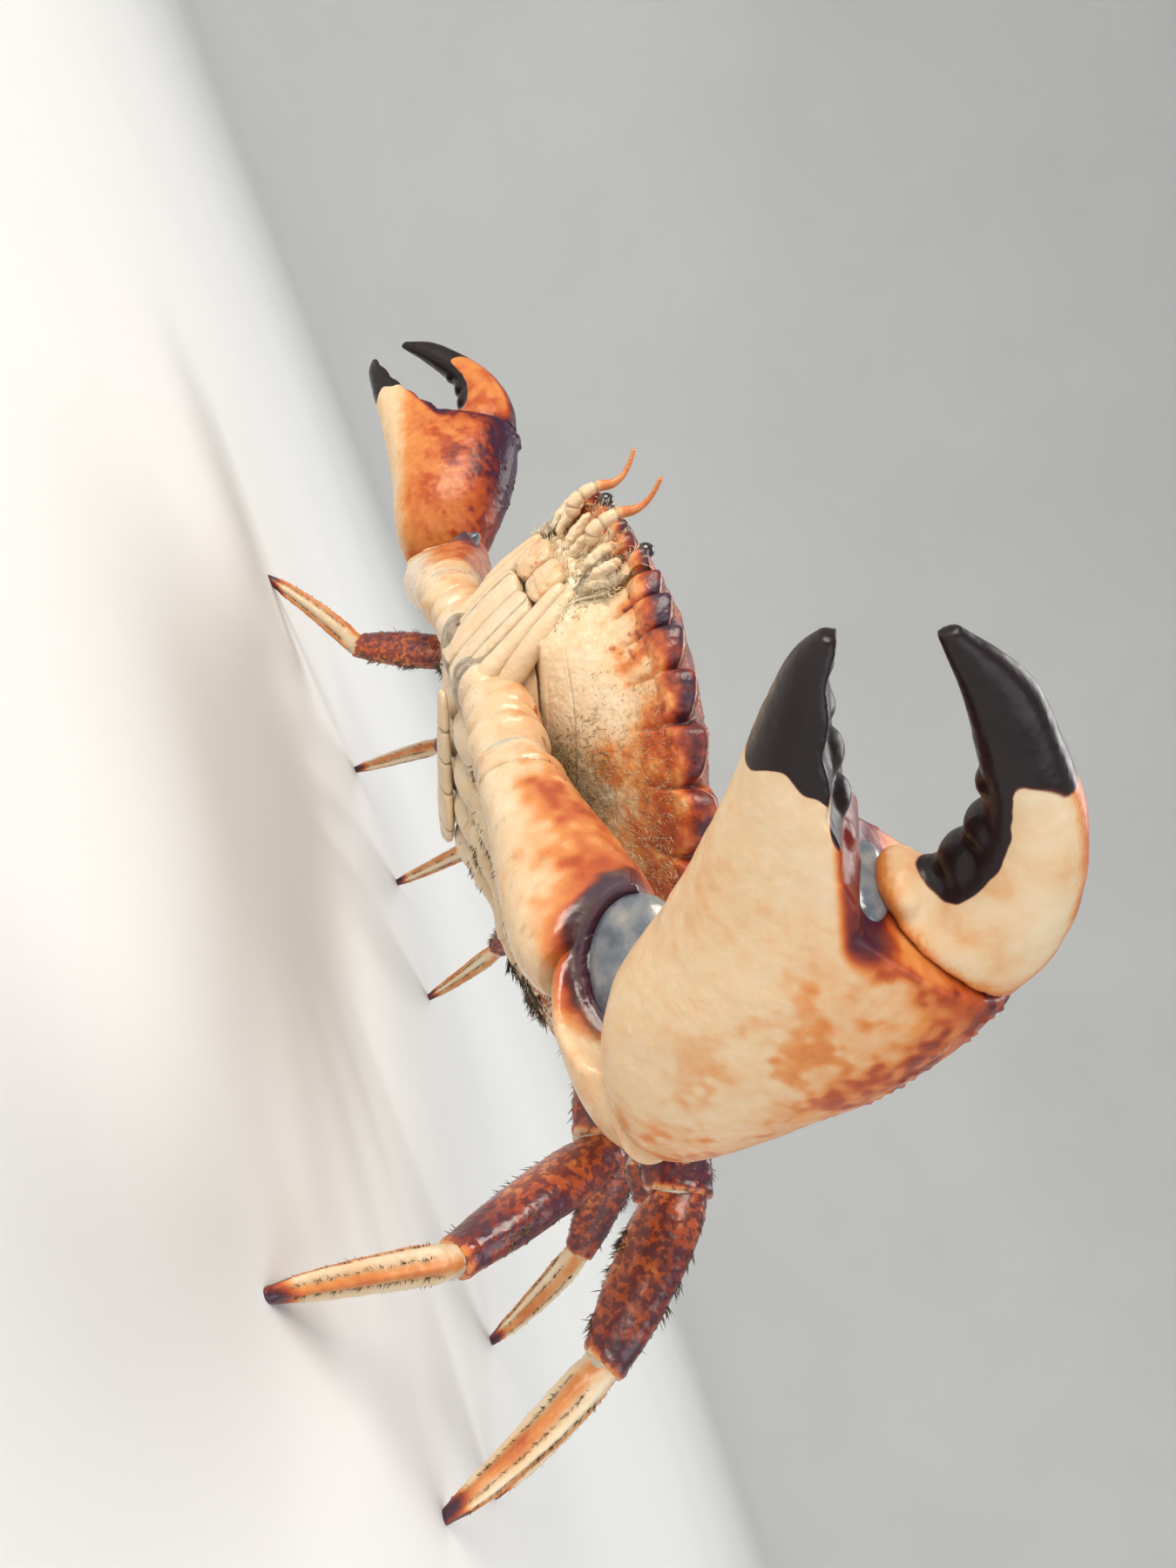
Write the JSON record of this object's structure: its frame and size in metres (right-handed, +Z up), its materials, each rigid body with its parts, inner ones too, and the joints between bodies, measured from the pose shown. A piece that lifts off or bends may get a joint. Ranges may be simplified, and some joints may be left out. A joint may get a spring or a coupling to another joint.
{
  "type": "rock crab",
  "caption": "Life-size still model of a large rock crab standing on its walking legs, claws held up and open.",
  "frame": {"origin": "on the floor, under the middle of the model's box", "axes": "+Z up from the floor, +X to the crab's left, -Y the way its front faces"},
  "size_m": [0.3414, 0.1992, 0.1121],
  "materials": {
    "carapace_shell": "hard wet shell with fine granules",
    "sternum_shell": "smooth cream shell",
    "mouth_shell": "rough cream shell",
    "arm_shell": "smooth orange shell",
    "claw_shell": "smooth wet shell",
    "claw_finger": "polished black shell",
    "leg_shell": "spotted wet shell",
    "leg_tip": "grooved horny shell",
    "eye": "glossy black",
    "feeler": "thin ringed feeler"
  },
  "bodies": {
    "root": {"carapace": "carapace_shell", "thorax": "sternum_shell", "abdomen": "sternum_shell", "maxilliped_L": "mouth_shell", "maxilliped_R": "mouth_shell", "eye_L": "eye", "eye_R": "eye", "antenna_L": "feeler", "antenna_R": "feeler", "arm_L_coxa": "arm_shell", "arm_L_merus": "arm_shell", "arm_L_carpus": "arm_shell", "arm_L_palm": "claw_shell", "arm_L_dactyl": "claw_finger", "arm_R_coxa": "arm_shell", "arm_R_merus": "arm_shell", "arm_R_carpus": "arm_shell", "arm_R_palm": "claw_shell", "arm_R_dactyl": "claw_finger", "leg_L1_coxa": "leg_shell", "leg_L1_merus": "leg_shell", "leg_L1_carpus": "leg_shell", "leg_L1_propodus": "leg_shell", "leg_L1_dactyl": "leg_tip", "leg_L2_coxa": "leg_shell", "leg_L2_merus": "leg_shell", "leg_L2_carpus": "leg_shell", "leg_L2_propodus": "leg_shell", "leg_L2_dactyl": "leg_tip", "leg_L3_coxa": "leg_shell", "leg_L3_merus": "leg_shell", "leg_L3_carpus": "leg_shell", "leg_L3_propodus": "leg_shell", "leg_L3_dactyl": "leg_tip", "leg_L4_coxa": "leg_shell", "leg_L4_merus": "leg_shell", "leg_L4_carpus": "leg_shell", "leg_L4_propodus": "leg_shell", "leg_L4_dactyl": "leg_tip", "leg_R1_coxa": "leg_shell", "leg_R1_merus": "leg_shell", "leg_R1_carpus": "leg_shell", "leg_R1_propodus": "leg_shell", "leg_R1_dactyl": "leg_tip", "leg_R2_coxa": "leg_shell", "leg_R2_merus": "leg_shell", "leg_R2_carpus": "leg_shell", "leg_R2_propodus": "leg_shell", "leg_R2_dactyl": "leg_tip", "leg_R3_coxa": "leg_shell", "leg_R3_merus": "leg_shell", "leg_R3_carpus": "leg_shell", "leg_R3_propodus": "leg_shell", "leg_R3_dactyl": "leg_tip", "leg_R4_coxa": "leg_shell", "leg_R4_merus": "leg_shell", "leg_R4_carpus": "leg_shell", "leg_R4_propodus": "leg_shell", "leg_R4_dactyl": "leg_tip"}
  },
  "joints": []
}
